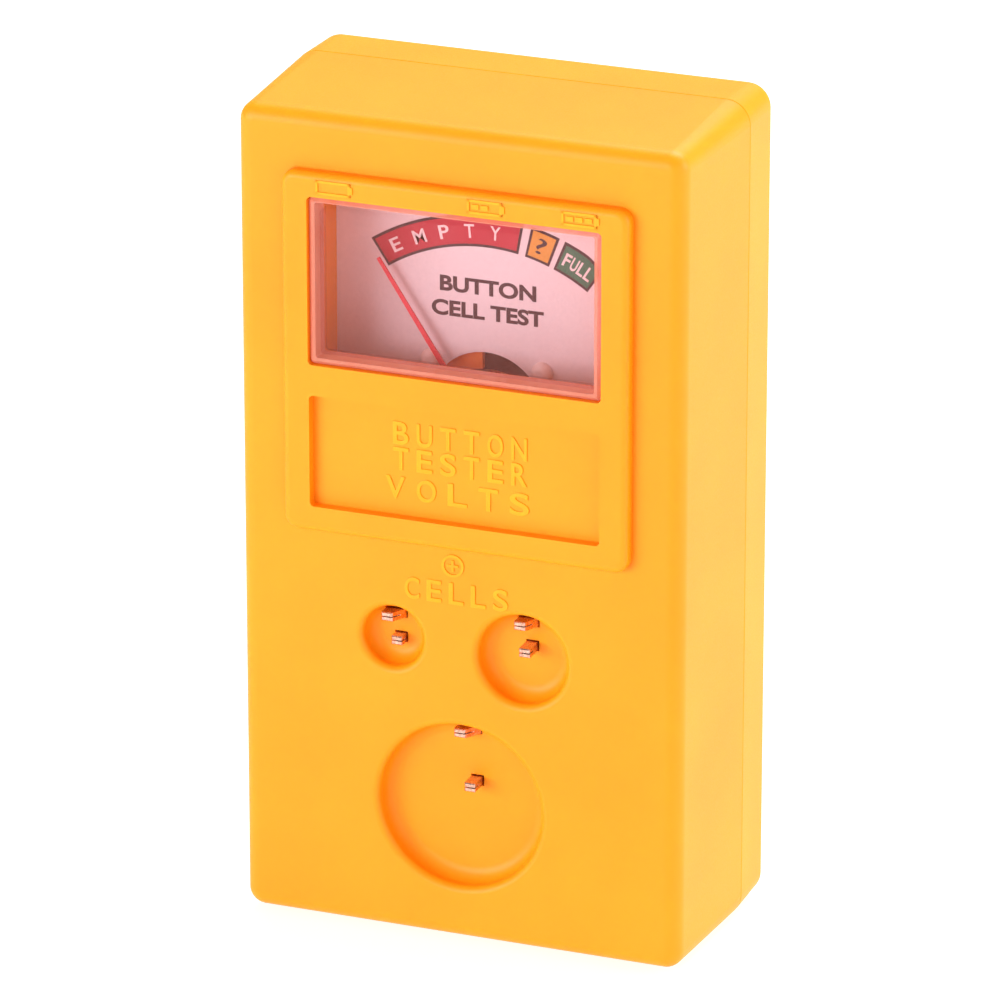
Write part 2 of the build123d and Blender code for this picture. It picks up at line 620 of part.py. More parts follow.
def balance_weight(x, z):
    """Small coil of wire on one arm of the pointer, seen as a collar."""
    reach, half = WEIGHT_RADIUS, ARM_WIDTH / 2
    collar = block((x - reach, x + reach), WEIGHT_Y, (z - reach, z + reach))
    collar = fillet(collar.edges().filter_by(Axis.Y), WEIGHT_CORNER)
    if x:
        arm = block((x - 2 * reach, x + 2 * reach), POINTER_Y, (-half, half))
    else:
        arm = block((-half, half), POINTER_Y, (z - 2 * reach, z + 2 * reach))
    return turned(collar - arm)


def pointer_stop(angle):
    y = (FRONT_BRIDGE_Y + BRIDGE_PLATE, POINTER_Y[1] + STOP_TIP)
    return rod(STOP_RADIUS, polar(STOP_REACH, angle), y)


def half_turn(number):
    """Radius, centre x and side (1 above the pivot, -1 below) of one half of the spiral."""
    side = 1 if number % 2 else -1
    return SPRING_START + SPRING_PITCH * number, (side + 1) * SPRING_PITCH / 2, side


def hairspring(y):
    """Flat spiral made of half rings whose centres alternate, so each joins the next smoothly."""
    strip, height = SPRING_STRIP
    halves = []
    for number in range(SPRING_HALF_TURNS):
        radius, centre, side = half_turn(number)
        ring = tube(radius + strip / 2, radius - strip / 2, (centre, 0), (y, y + height))
        reach = 2 * radius + 1
        halves.append(ring & block((-reach, reach), (y - 1, y + 1), sorted((0, -side * reach))))
    spring = halves[0]
    for half in halves[1:]:
        spring += half
    return MOVEMENT * spring


def spring_anchor(plate_y, spring_y):
    """Tab from a bridge to the outer end of its hairspring."""
    radius, centre, side = half_turn(SPRING_HALF_TURNS - 1)
    x = centre + side * radius
    width, height = ANCHOR_SIZE
    end = spring_y + (SPRING_STRIP[1] if spring_y > plate_y else 0)
    z = sorted((0, side * height))
    return MOVEMENT * block((x - width / 2, x + width / 2), sorted((plate_y, end)), z)


def terminal(place):
    """Threaded stud with a flange in front of the meter frame."""
    radius, thickness = STUD_FLANGE
    front = FRAME_Y[0] - thickness
    stud = rod(STUD_RADIUS, place, (front, FRAME_Y[1] + STUD_LENGTH))
    return stud + rod(radius, place, (front, FRAME_Y[0]))


def terminal_nut(place):
    radius, thickness = NUT
    nut = slab(Pos(*place) * RegularPolygon(radius, 6), (FRAME_Y[1], FRAME_Y[1] + thickness))
    return nut - rod(STUD_RADIUS, place, (FRAME_Y[1] - 1, FRAME_Y[1] + 2 * thickness))


# ---- resistor board and leads --------------------------------------------------------------------
def resistor_holes():
    half = RESISTOR_SPAN / 2
    return [(x, z) for z in RESISTOR_ROWS for x in (-half, half)]


def resistor_board():
    board = slab(plate_outline(BOARD_X, BOARD_Z, WINDOW_CORNER), BOARD_Y)
    for place in resistor_holes():
        board -= rod(RESISTOR_LEAD + SLIP, place, (BOARD_Y[0] - 1, BOARD_Y[1] + 1))
    for post in BOARD_POSTS:
        board -= rod(LEAF_SCREW[0] + SLIP, post, (BOARD_Y[0] - 1, BOARD_Y[1] + 1))
    return board


def resistor(z):
    """Axial resistor on the board's back, its leads bent through the board."""
    radius, length = RESISTOR_BODY
    y = BOARD_Y[1] + radius + RESISTOR_GAP
    tip = BOARD_Y[0] - LEAD_BEND
    body = Pos(0, y, z) * (Rot(0, 90, 0) * Cylinder(radius, length))
    body = fillet(body.edges().filter_by(GeomType.CIRCLE), RESISTOR_CORNER)
    for side in (-1, 1):
        end = side * RESISTOR_SPAN / 2
        bend = FilletPolyline((0, y, z), (end, y, z), (end, tip, z), radius=LEAD_BEND)
        section = Plane(origin=(0, y, z), z_dir=(side, 0, 0)) * Circle(RESISTOR_LEAD)
        body += sweep(section, bend)
    return body


def lead(*points):
    """Insulated wire: straight runs joined by tangent arcs."""
    runs = [dist(a, b) for a, b in zip(points, points[1:])]
    path = FilletPolyline(*points, radius=0.45 * min(runs))
    section = Plane(origin=path @ 0, z_dir=path % 0) * Circle(LEAD_RADIUS)
    return sweep(section, path)


def leaf_screws():
    seat = LEAF_Y + LEAF_THICKNESS
    return [screw(post, LEAF_SCREW, seat, LEAF_SCREW_TIP, 1) for _, post, _, _ in CONTACTS.values()]


def bridge_screws():
    """Front pair into the yoke's front face, rear pair into its back face."""
    front, rear = YOKE_Y[0] - BRIDGE_PLATE, YOKE_Y[1] + BRIDGE_PLATE
    made = [screw(p, BRIDGE_SCREW, front, front + BRIDGE_SCREW_LENGTH, -1) for p in FRONT_SCREWS]
    return made + [screw(p, BRIDGE_SCREW, rear, rear - BRIDGE_SCREW_LENGTH, 1) for p in REAR_SCREWS]


def pointer_stops():
    """Two pins that the pointer's tail meets at the ends of its travel."""
    reach = ARM_WIDTH / 2 + STOP_RADIUS + STOP_GAP
    beyond = degrees(asin(reach / STOP_REACH))
    tail = 180 + REST_ANGLE
    return pointer_stop(tail - beyond), pointer_stop(tail + TRAVEL + beyond)


def build_case():
    save("front_shell", front_shell())
    save("back_cover", back_cover())
    case_screws = [screw(p, CASE_SCREW, CASE_BORE_Y, CASE_SCREW_TIP, 1) for p in CASE_POSTS]
    save("case_screws", *case_screws)
    save("meter_cover", meter_cover())


def build_contacts():
    for name in CONTACTS:
        save(f"{name}_contact", nib(name))
        save(f"{name}_leaf", leaf(name))
    save("leaf_screws", *leaf_screws())


def build_meter():
    save("dial_plate", dial_plate())
    save("dial_rivets", *[dial_rivet(place) for place in rivet_places()])
    save("yoke_ring", yoke_ring())
    save("meter_frame", meter_frame())
    meter_screws = [screw(p, METER_SCREW, FRAME_Y[1], METER_SCREW_TIP, 1) for p in METER_POSTS]
    save("meter_screws", *meter_screws)
    save("core_magnet", rod(CORE_RADIUS, (0, PIVOT_Z), CORE_Y))
    save("core_supports", core_support(-1), core_support(1))
    save("front_bridge", front_bridge())
    save("rear_bridge", rear_bridge())
    save("bridge_screws", *bridge_screws())
    save("pointer_stops", *pointer_stops())
    save("meter_terminals", *[terminal(place) for place in TERMINALS])
    save("terminal_nuts", *[terminal_nut(place) for place in TERMINALS])


def build_movement():
    front, rear = FRONT_HUB_Y[0], REAR_HUB_Y[1]
    save("front_jewel_screw", jewel_screw(front - PIN_REACH, 1))
    save("rear_jewel_screw", jewel_screw(rear + PIN_REACH, -1))
    save("pivot_pins", pivot_pin(front, -1), pivot_pin(rear, 1))
    save("front_hub", hub(FRONT_HUB_Y, front, -1))
    save("rear_hub", hub(REAR_HUB_Y, rear, 1))
    former, winding = coil_parts()
    save("coil_former", former)
    save("coil_winding", winding)
    save("pointer", pointer())
    save("balance_weights", *[balance_weight(x, z) for x, z in WEIGHTS])
    save("front_hairspring", hairspring(FRONT_SPRING_Y))
    save("rear_hairspring", hairspring(REAR_SPRING_Y))
    front_plate = FRONT_BRIDGE_Y + BRIDGE_PLATE
    rear_plate = REAR_BRIDGE_Y - BRIDGE_PLATE
    front_anchor = spring_anchor(front_plate, FRONT_SPRING_Y)
    save("hairspring_anchors", front_anchor, spring_anchor(rear_plate, REAR_SPRING_Y))


def build_board():
    save("resistor_board", resistor_board())
    board_screws = [screw(p, LEAF_SCREW, BOARD_Y[1], BOARD_SCREW_TIP, 1) for p in BOARD_POSTS]
    save("board_screws", *board_screws)
    for name, z in zip(WELLS, RESISTOR_ROWS):
        save(f"{name}_resistor", resistor(z))


def build_leads():
    """Each lead runs square off its tab or pad, so its ends meet them face to face."""
    tab_y = LEAF_Y + LEAF_THICKNESS
    front, back = BOARD_Y
    for name, (pad_x, pad_z) in RIM_PADS.items():
        x, z = leaf_point(f"{name}_rim", TAB_JOINT)
        start = [(x, tab_y, z), (x, tab_y + LEAD_END, z)]
        save(f"{name}_rim_lead", lead(*start, (pad_x, front - LEAD_END, pad_z), (pad_x, front, pad_z)))
    for name, ends in CENTRE_LINKS.items():
        (x0, z0), (x1, z1) = [leaf_point(contact, beyond) for contact, beyond in ends]
        start = [(x0, tab_y, z0), (x0, LINK_Y, z0)]
        save(name, lead(*start, (x1, LINK_Y, z1), (x1, tab_y, z1)))
    stud_y = FRAME_Y[1] + STUD_LENGTH
    (left, low), (right, _) = TERMINALS
    x, z = leaf_point("small_centre", TAB_JOINT)
    route = [(x, tab_y, z), (x, back, z), (x, LEAD_BACK_Y, low - LEAD_DROP)]
    save("meter_negative_lead", lead(*route, (left, LEAD_BACK_Y, low), (left, stud_y, low)))
    x, z = POSITIVE_PAD
    route = [(x, back, z), (x, LEAD_BACK_Y, z)]
    save("meter_positive_lead", lead(*route, (right, LEAD_BACK_Y, low), (right, stud_y, low)))


os.makedirs("parts", exist_ok=True)
build_case()
build_contacts()
build_meter()
build_movement()
build_board()
build_leads()
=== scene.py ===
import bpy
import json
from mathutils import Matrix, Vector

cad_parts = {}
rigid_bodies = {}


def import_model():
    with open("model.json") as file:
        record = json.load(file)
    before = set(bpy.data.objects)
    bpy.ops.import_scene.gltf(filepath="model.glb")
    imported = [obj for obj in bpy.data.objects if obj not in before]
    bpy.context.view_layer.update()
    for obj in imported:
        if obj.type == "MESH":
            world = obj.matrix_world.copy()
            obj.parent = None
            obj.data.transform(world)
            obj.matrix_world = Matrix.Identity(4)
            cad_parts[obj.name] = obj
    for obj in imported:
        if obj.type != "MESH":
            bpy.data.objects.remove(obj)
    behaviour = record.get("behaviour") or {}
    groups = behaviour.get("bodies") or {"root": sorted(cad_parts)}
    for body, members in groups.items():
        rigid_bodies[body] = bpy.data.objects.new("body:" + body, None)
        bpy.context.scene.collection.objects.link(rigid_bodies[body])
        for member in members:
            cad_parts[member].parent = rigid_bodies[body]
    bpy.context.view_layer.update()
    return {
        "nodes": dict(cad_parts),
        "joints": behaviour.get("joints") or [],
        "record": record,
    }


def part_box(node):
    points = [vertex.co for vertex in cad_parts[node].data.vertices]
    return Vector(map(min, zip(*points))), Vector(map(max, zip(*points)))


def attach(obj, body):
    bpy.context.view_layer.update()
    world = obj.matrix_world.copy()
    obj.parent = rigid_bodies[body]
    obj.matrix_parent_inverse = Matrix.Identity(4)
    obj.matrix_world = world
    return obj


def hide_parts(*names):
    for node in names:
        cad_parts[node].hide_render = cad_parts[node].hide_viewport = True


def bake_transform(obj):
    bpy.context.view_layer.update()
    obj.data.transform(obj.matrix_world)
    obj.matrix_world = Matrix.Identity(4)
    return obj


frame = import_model()

import json
from math import cos, degrees, pi, radians, sin

import bmesh
import bpy
from mathutils import Matrix, Vector

# Metres, in the part's own frame: +Z up the case, -Y out of its front, +X to the right from the front.
MM = 0.001

# ---- places, from the frame --------------------------------------------------------------
SHELL_LOW, SHELL_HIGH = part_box("front_shell")
COVER_LOW, COVER_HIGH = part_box("meter_cover")
PIVOT = Vector(next(j["pos_m"] for j in frame["joints"] if j["name"] == "pointer_swing"))
HALF_HEIGHT = (SHELL_LOW.z + SHELL_HIGH.z) / 2
BEZEL_RISE = 1.8 * MM
PLATE_SUNK = 1.4 * MM  # the nameplate's floor, below the bezel's face
BEZEL_Y = SHELL_LOW.y
FACE_Y = BEZEL_Y + BEZEL_RISE
PLATE_Y = BEZEL_Y + PLATE_SUNK
DIAL_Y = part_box("dial_plate")[0].y  # the dial's printed face

# ---- pale band round the window: painted sheen and glow on the cover's wall, seen from in front ---
EDGE_WIDTH = 0.9 * MM  # at the sides and below
EDGE_TOP_WIDTH = 0.6 * MM
EDGE_INSET = 0.04 * MM  # inside the cover's own skin
EDGE_CORNER = 0.6 * MM
EDGE_BEVEL = 0.45 * MM

# ---- contact leaves: distances along a leaf's centre line --------------------------------
LEAF_PAST_MIDDLE = 1.3 * MM  # how much further its solder tab reaches than its free end
LEAF_CLAMPED = 1.9 * MM  # from the screw to where the leaf starts to bend
LEAF_PUSHED = 1.6 * MM  # from the contact to where the leaf is straight again
LEAF_CUTS = 7

# ---- curves ------------------------------------------------------------------------------
ARC_STEPS = 40  # in a circle, and along a dial band
BAND_CORNER_STEPS = 12
BOX_CORNER_STEPS = 5
GLYPH_STEPS = 6
GLYPH_BEVEL_STEPS = 2
GLYPH_DEPTH = 0.1  # either side of the middle, in font units; each word is then fitted to its rise

# ---- dial print: radii from the pivot, and angles from straight up towards +X ------------
BAND_INNER = 23.9 * MM
BAND_OUTER = 27.3 * MM
OUTLINE = 0.36 * MM
PRINT_RISE = 0.03 * MM

# Name, first and last angle, material, whether its outer corner at the last angle is round.
BANDS = (
    ("red_band", -33.3, 9.5, "band_red", False),
    ("amber_band", 13.2, 19.8, "band_amber", False),
    ("green_band", 22.9, 33.9, "band_green", True),
)
ROUNDED = (0.5, 0.52)  # share of a band's outer edge and of its end that a round corner takes

# Words on the bands: name, letters, first and last angle, letter width and height and the letters'
# height above the band's inner edge in millimetres, thickening in font units, material.
BAND_WORDS = (
    ("empty_word", "EMPTY", (-28.4, 2.6), 1.35, 1.8, 0.75, 0.012, "ink_white"),
    ("amber_mark", "?", (16.5, 16.5), 1.25, 2.1, 0.65, 0.0, "ink_dark"),
    ("full_word", "FULL", (24.8, 32.0), 0.9, 1.8, 0.75, 0.02, "ink_white"),
)
WIDE_M = 1.25  # an M's width, to the other letters'

# Level lines: name, letters, span in x and height above the pivot in millimetres.
DIAL_LINES = (
    ("dial_button", "BUTTON", (-6.3, 6.6), 17.15),
    ("dial_cell_test", "CELL TEST", (-7.4, 7.6), 13.9),
)
DIAL_LETTER = 2.1 * MM
DIAL_BOLD = 0.035

# ---- marks moulded on the case, in millimetres -------------------------------------------
RELIEF = 0.15 * MM  # how far they stand out
WORD_BOLD = -0.004
WORD_ROUNDING = 0.02

# Name, letters, spans in x and z, the face they stand on, letter width.
CASE_WORDS = (
    ("plate_line_1", "BUTTON", (-8.6, 9.3), (67.2, 70.2), PLATE_Y, 2.1),
    ("plate_line_2", "TESTER", (-8.6, 9.3), (63.8, 66.8), PLATE_Y, 2.1),
    ("plate_line_3", "VOLTS", (-9.6, 9.6), (59.9, 62.9), PLATE_Y, 2.6),
    ("cells_word", "CELLS", (-7.3, 6.6), (46.6, 49.5), FACE_Y, 2.0),
)

# Battery outlines: name, middle in x, width, bars inside.
ICONS = (
    ("low_icon", -15.9, 4.6, 0),
    ("middle_icon", 4.2, 4.6, 2),
    ("high_icon", 16.6, 4.6, 3),
)
ICON_SLOTS = 3
ICON_Z = 99.2
ICON_HEIGHT = 1.8
ICON_STROKE = 0.3

MARK_PLACE = (-0.8, 51.75)
MARK_RING = (1.5, 1.15)  # outer and inner radius
MARK_BAR = (0.75, 0.16)  # half length and half width
MARK_STEP = 0.01 * MM  # keeps the two bars' faces apart where they cross

# ---- stage: metres and watts -------------------------------------------------------------
CAMERA_AZIMUTH = radians(21.4)
CAMERA_ELEVATION = radians(20.79)
CAMERA_DISTANCE = 0.9709
CAMERA_LENS = 276.2
CAMERA_AIM = Vector((0, 1.1 * MM, HALF_HEIGHT))
CAMERA_OFFSET = (-0.41 * MM, 0.28 * MM)

# Name, place, size, power.
LIGHTS = (
    ("key_light", (-0.6, -0.88, 0.26), (0.8, 0.42), 10),
    ("fill_light", (0.8, -0.8, 0.35), (0.6, 0.5), 1.6),
    ("side_light", (1.2, 0.2, 0.4), (0.8, 0.7), 11),
    ("top_light", (0.1, 0.6, 1.1), (0.9, 0.8), 19),
)
SKY_STRENGTH = 0.4
FLOOR_HALF = 3
FLOOR_DEPTH = 0.01

# ---- materials, as sRGB colours from 0 to 255 --------------------------------------------
NOISE_SPAN = (0.3, 0.7)  # nearly all of a noise node's values lie between these

# Colour of the darker broad patches; the lighter ones have CASE_LIGHTER more green and blue.
CASE_PLASTICS = {
    "case_plastic": (255, 147, 2),
    "back_plastic": (255, 151, 8),
    # The raised marks are the same moulding, coloured lighter and yellower as a painted highlight.
    "mark_plastic_painted_highlight": (246, 160, 2),
}
CASE_LIGHTER = 6

# Own colour, the share of it that shows, and its glow, which is painted light where it is above zero.
CLEAR_PLASTICS = {
    "clear_plastic": ((255, 168, 150), 0.05, 0.0),
    # The edge band: paler and glowing, a painted sheen and glow for light caught along the cover's edge.
    "painted_glow_edge": ((255, 182, 150), 0.45, 0.16),
}
CLEAR_TINT = (249, 241, 243)
CLEAR_STREAK = (5, 18, 20)  # how much darker its streaks are

# Lighter colour, darker colour, roughness if not the usual.
METALS = {
    "zinc_screw": ((205, 207, 210), (160, 164, 170)),
    "soft_iron": ((96, 78, 80), (58, 44, 48), (0.35, 0.55)),
    "magnet_alloy": ((150, 146, 150), (112, 108, 114), (0.3, 0.5)),
    "brass": ((226, 180, 96), (188, 138, 60)),
    "bronze_spring": ((226, 150, 96), (186, 108, 62)),
    "contact_metal": ((228, 188, 170), (196, 146, 124), (0.2, 0.36)),
    "aluminium": ((214, 214, 220), (176, 178, 184)),
    "pivot_steel": ((196, 198, 204), (150, 152, 160), (0.12, 0.22)),
}

# Lighter colour, darker colour, roughness and grain in features per metre if not the usual.
PAINTS = {
    "dial_paint": ((240, 236, 240), (232, 228, 233)),
    "white_plastic": ((244, 236, 232), (236, 226, 222)),
    "frame_plastic": ((255, 150, 60), (246, 128, 44)),
    "pointer_paint": ((240, 66, 84), (226, 52, 72), (0.3, 0.42)),
    "board_resin": ((176, 122, 66), (140, 92, 46), (0.5, 0.7), 800),
    "resistor_coating": ((214, 188, 140), (196, 166, 118)),
    "red_insulation": ((196, 28, 30), (172, 20, 24), (0.3, 0.45)),
    "black_insulation": ((34, 34, 36), (22, 22, 24), (0.3, 0.45)),
    "band_red": ((192, 28, 62), (182, 22, 56)),
    "band_amber": ((228, 172, 72), (220, 162, 62)),
    "band_green": ((2, 126, 96), (2, 114, 88)),
    "ink_dark": ((34, 30, 44), (26, 22, 34)),
    "ink_white": ((250, 244, 246), (240, 232, 236)),
}


# ---- node helpers ------------------------------------------------------------------------
def linear(red, green, blue):
    """An sRGB colour as a linear colour with alpha."""
    def one(value):
        value /= 255
        return value / 12.92 if value <= 0.04045 else ((value + 0.055) / 1.055) ** 2.4
    return (one(red), one(green), one(blue), 1)


class Surface:
    """A Principled material, with short calls for the nodes that feed it."""

    def __init__(self, name, **sockets):
        self.material = bpy.data.materials.new(name)
        self.material.use_nodes = True
        self.tree = self.material.node_tree
        self.shader = self.tree.nodes["Principled BSDF"]
        self.set(self.shader, **sockets)

    def set(self, node, **sockets):
        for name, value in sockets.items():
            node.inputs[name.replace("_", " ")].default_value = value

    def node(self, kind, **sockets):
        made = self.tree.nodes.new(kind)
        self.set(made, **sockets)
        return made

    def link(self, output, socket):
        self.tree.links.new(output, socket)

    def place(self):
        return self.node("ShaderNodeTexCoord").outputs["Object"]

    def noise(self, scale, detail, roughness=0.5, stretch=None):
        """Noise value over the object's own coordinates; scale is in features per metre."""
        source = self.place()
        if stretch:
            mapping = self.node("ShaderNodeMapping", Scale=stretch)
            self.link(source, mapping.inputs["Vector"])
            source = mapping.outputs["Vector"]
        noise = self.node("ShaderNodeTexNoise", Scale=scale, Detail=detail, Roughness=roughness)
        self.link(source, noise.inputs["Vector"])
        return noise.outputs["Fac"]

    def colour(self, value, dark, light, span=NOISE_SPAN):
        """Base colour from dark to light, as value goes across span."""
        ramp = self.node("ShaderNodeValToRGB")
        for element, position, colour in zip(ramp.color_ramp.elements, span, (dark, light)):
            element.position = position
            element.color = linear(*colour)
        self.link(value, ramp.inputs["Fac"])
        self.link(ramp.outputs["Color"], self.shader.inputs["Base Color"])

    def rough(self, value, low, high):
        """Roughness from low to high, as value goes across the span of noise."""
        remap = self.node("ShaderNodeMapRange", To_Min=low, To_Max=high)
        self.set(remap, From_Min=NOISE_SPAN[0], From_Max=NOISE_SPAN[1])
        self.link(value, remap.inputs["Value"])
        self.link(remap.outputs["Result"], self.shader.inputs["Roughness"])

    def bump(self, height, strength, distance):
        bump = self.node("ShaderNodeBump", Strength=strength, Distance=distance)
        self.link(height, bump.inputs["Height"])
        self.link(bump.outputs["Normal"], self.shader.inputs["Normal"])


# ---- materials ---------------------------------------------------------------------------
def case_plastic(name, body):
    """Yellow-orange moulded plastic: satin skin, deep colour, light passing under the edges."""
    s = Surface(name, Subsurface_Weight=0.25, Subsurface_Scale=2.0 * MM, Specular_IOR_Level=0.3)
    s.set(s.shader, Subsurface_Radius=(1.0, 0.36, 0.06))
    red, green, blue = body
    s.colour(s.noise(55, detail=2), body, (red, green + CASE_LIGHTER, blue + CASE_LIGHTER))
    skin = s.noise(5200, detail=4, roughness=0.6)
    s.rough(skin, 0.38, 0.52)
    s.bump(skin, 0.10, 0.02 * MM)
    return s.material


def clear_plastic(name, body, share, glow):
    """Rose-tinted clear moulding: share of it shows its own colour, the rest what is behind it."""
    # A glow above zero is painted light: the piece shines though it is no lamp.
    s = Surface(name, IOR=1.49, Emission_Color=linear(*body), Emission_Strength=glow)
    streak = [value - less for value, less in zip(body, CLEAR_STREAK)]
    s.colour(s.noise(260, detail=2, stretch=(1, 1, 0.15)), streak, body)
    s.rough(s.noise(900, detail=2), 0.03, 0.08)
    clear = s.node("ShaderNodeBsdfTransparent", Color=linear(*CLEAR_TINT))
    mix = s.node("ShaderNodeMixShader", Fac=share)
    s.link(clear.outputs["BSDF"], mix.inputs[1])
    s.link(s.shader.outputs["BSDF"], mix.inputs[2])
    s.link(mix.outputs["Shader"], s.tree.nodes["Material Output"].inputs["Surface"])
    return s.material


def painted(name, light, dark, roughness=(0.4, 0.55), grain=2600):
    """Printed, painted or moulded skin with a fine grain."""
    s = Surface(name)
    fine = s.noise(grain, detail=3)
    s.colour(fine, dark, light)
    s.rough(fine, *roughness)
    s.bump(fine, 0.05, 0.01 * MM)
    return s.material


def metal(name, light, dark, roughness=(0.22, 0.4)):
    s = Surface(name, Metallic=1.0)
    grain = s.noise(3000, detail=4)
    s.colour(grain, dark, light)
    s.rough(grain, *roughness)
    s.bump(grain, 0.12, 0.01 * MM)
    return s.material


def wound(name, light, dark):
    """Fine enamelled wire, laid side by side round the coil."""
    s = Surface(name, Metallic=0.85)
    wave = s.node("ShaderNodeTexWave", Scale=1400, Distortion=0.6, Detail=2)
    s.link(s.place(), wave.inputs["Vector"])
    s.colour(wave.outputs["Fac"], dark, light, span=(0.1, 0.7))
    s.rough(s.noise(1200, detail=3), 0.25, 0.4)
    s.bump(wave.outputs["Fac"], 0.4, 0.04 * MM)
    return s.material


MATERIALS = {"copper_wire": wound("copper_wire", (240, 130, 70), (150, 60, 30))}
MATERIALS |= {name: case_plastic(name, body) for name, body in CASE_PLASTICS.items()}
MATERIALS |= {name: clear_plastic(name, *look) for name, look in CLEAR_PLASTICS.items()}
MATERIALS |= {name: metal(name, *look) for name, look in METALS.items()}
MATERIALS |= {name: painted(name, *look) for name, look in PAINTS.items()}


def dress_cad_nodes():
    """Each CAD node takes the material of its slot in the record."""
    slots = {entry["node"]: entry["material_slot"] for entry in frame["record"]["subparts"]}
    for name, node in frame["nodes"].items():
        material = "back_plastic" if name == "back_cover" else slots[name]
        for slot in node.material_slots:
            slot.material = MATERIALS[material]


# ---- mesh and piece helpers --------------------------------------------------------------
def coat(obj, material):
    """Give a piece its material."""
    obj.data.materials.clear()
    obj.data.materials.append(MATERIALS[material])


def mesh_object(name, data):
    obj = bpy.data.objects.new(name, data)
    bpy.context.scene.collection.objects.link(obj)
    return obj


def as_mesh(name, made):
    """The mesh of a bmesh, which is used up."""
    mesh = bpy.data.meshes.new(name)
    made.to_mesh(mesh)
    made.free()
    return mesh


def joined(name, meshes):
    """One object from several meshes, which are used up."""
    made = bmesh.new()
    for mesh in meshes:
        made.from_mesh(mesh)
        bpy.data.meshes.remove(mesh)
    return mesh_object(name, as_mesh(name, made))


def fixed_piece(name, meshes, material):
    """A finished piece, made of these meshes, that stays with the case."""
    obj = joined(name, meshes)
    coat(obj, material)
    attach(obj, "case")


def prism(outline, back_y, front_y):
    """Mesh of a closed solid from a flat outline of (x, z) points, between two levels of y."""
    made = bmesh.new()
    back = [made.verts.new((x, back_y, z)) for x, z in outline]
    front = [made.verts.new((x, front_y, z)) for x, z in outline]
    made.faces.new(back)
    made.faces.new(reversed(front))
    for i in range(len(outline)):
        j = (i + 1) % len(outline)
        made.faces.new((back[j], back[i], front[i], front[j]))
    bmesh.ops.recalc_face_normals(made, faces=made.faces)
    return as_mesh("prism", made)


def hollow(loops):
    """Mesh of a closed band from loops of equal length, each (outline, y), round its section."""
    made = bmesh.new()
    rings = [[made.verts.new((x, y, z)) for x, z in outline] for outline, y in loops]
    for first, second in zip(rings, rings[1:] + rings[:1]):
        for i in range(len(first)):
            j = (i + 1) % len(first)
            made.faces.new((first[i], first[j], second[j], second[i]))
    bmesh.ops.recalc_face_normals(made, faces=made.faces)
    return as_mesh("hollow", made)


def circle(centre, radius):
    angles = [2 * pi * i / ARC_STEPS for i in range(ARC_STEPS)]
    return [(centre[0] + radius * cos(a), centre[1] + radius * sin(a)) for a in angles]


def rounded_box(x_span, z_span, radius):
    """Outline of a rounded rectangle, counter-clockwise from its lower right corner."""
    points = []
    corners = ((x_span[1], z_span[0], -1, 1, 270), (x_span[1], z_span[1], -1, -1, 0))
    corners += ((x_span[0], z_span[1], 1, -1, 90), (x_span[0], z_span[0], 1, 1, 180))
    for x, z, inward_x, inward_z, start in corners:
        centre = (x + inward_x * radius, z + inward_z * radius)
        for i in range(BOX_CORNER_STEPS + 1):
            angle = radians(start + 90 * i / BOX_CORNER_STEPS)
            points.append((centre[0] + radius * cos(angle), centre[1] + radius * sin(angle)))
    return points


def glyphs(text, bold, rounding):
    """Text as a mesh in font units, lying in XY and facing +Z."""
    curve = bpy.data.curves.new("glyphs", "FONT")
    curve.body = text
    curve.resolution_u = GLYPH_STEPS
    curve.offset = bold
    curve.extrude = GLYPH_DEPTH
    curve.bevel_depth = rounding
    curve.bevel_resolution = GLYPH_BEVEL_STEPS if rounding else 0
    holder = mesh_object("glyphs", curve)
    bpy.context.view_layer.update()
    evaluated = holder.evaluated_get(bpy.context.evaluated_depsgraph_get())
    mesh = bpy.data.meshes.new_from_object(evaluated)
    bpy.data.objects.remove(holder)
    bpy.data.curves.remove(curve)
    return mesh


def fitted_glyphs(text, x_span, z_span, y, rise, bold, rounding=0.0):
    """Text as a mesh fitted to a box on a face that looks along -Y, standing out by rise."""
    mesh = glyphs(text, bold, rounding)
    lows = [min(v.co[axis] for v in mesh.vertices) for axis in range(3)]
    highs = [max(v.co[axis] for v in mesh.vertices) for axis in range(3)]
    wide = (x_span[1] - x_span[0]) / (highs[0] - lows[0])
    tall = (z_span[1] - z_span[0]) / (highs[1] - lows[1])
    deep = 2 * rise / (highs[2] - lows[2])
    for v in mesh.vertices:
        x, up, out = v.co
        x = x_span[0] + (x - lows[0]) * wide
        z = z_span[0] + (up - lows[1]) * tall
        v.co = (x, y - (out - lows[2]) * deep + rise, z)
    return mesh


# ---- dial print --------------------------------------------------------------------------
def polar(reach, degrees_from_up):
    angle = radians(degrees_from_up)
    return PIVOT.x + reach * sin(angle), PIVOT.z + reach * cos(angle)


def arc_points(reach, start, end):
    return [polar(reach, start + (end - start) * i / ARC_STEPS) for i in range(ARC_STEPS + 1)]


def band_outline(start, end, inner, outer, rounded):
    """A ring segment; with rounded, its outer corner at the end is a smooth curve."""
    points = list(reversed(arc_points(inner, start, end)))
    if not rounded:
        return points + arc_points(outer, start, end)
    along, down = ROUNDED
    turn = end - (end - start) * along
    points += arc_points(outer, start, turn)
    first, corner = Vector(polar(outer, turn)), Vector(polar(outer, end))
    last = Vector(polar(outer - (outer - inner) * down, end))
    for i in range(1, BAND_CORNER_STEPS + 1):
        share = i / BAND_CORNER_STEPS
        point = first * (1 - share) ** 2 + corner * 2 * share * (1 - share) + last * share ** 2
        points.append(tuple(point))
    return points


